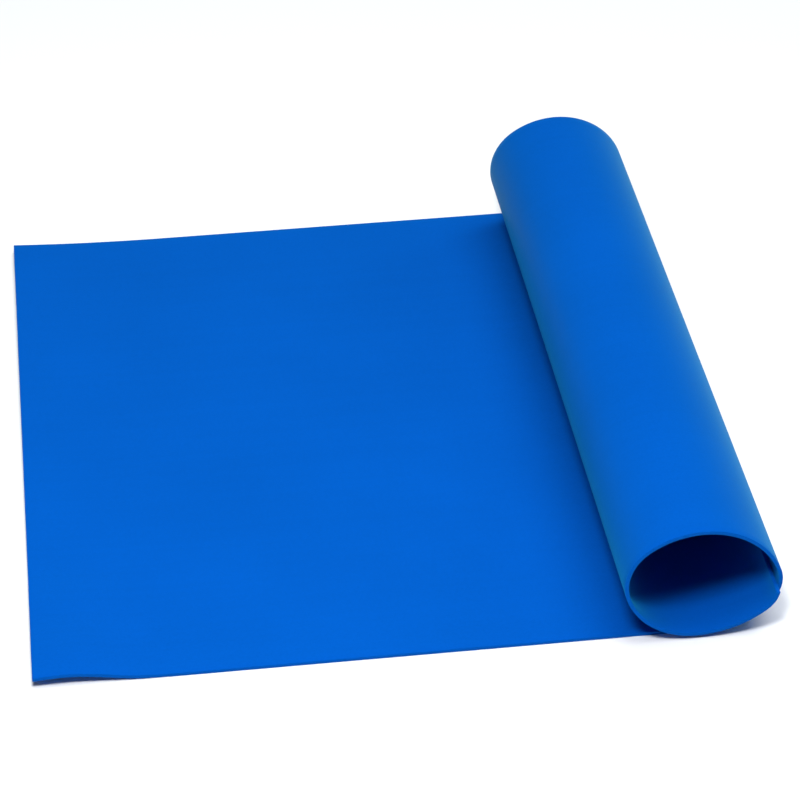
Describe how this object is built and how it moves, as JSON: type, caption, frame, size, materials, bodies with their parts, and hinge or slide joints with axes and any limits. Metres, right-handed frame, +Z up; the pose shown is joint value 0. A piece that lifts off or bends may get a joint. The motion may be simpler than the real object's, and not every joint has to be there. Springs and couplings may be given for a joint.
{
  "type": "anti static bench mat",
  "caption": "Rectangular rubber mat that drains static charge from a work bench, lying flat with one end loosely rolled into an open oval tube.",
  "frame": {"origin": "on the floor under the middle of the mat's bounding box as it lies", "axes": "+Z up from the floor; +X along the sheet's length, from the flat end toward the rolled end; +Y along the sheet's width and the roll, from the near edge to the far edge"},
  "size_m": [0.56, 0.6096, 0.102],
  "materials": {
    "rubber": "royal blue, smooth satin calendered surface, same colour through the thickness"
  },
  "bodies": {
    "root": {"mat": "rubber"}
  },
  "joints": []
}
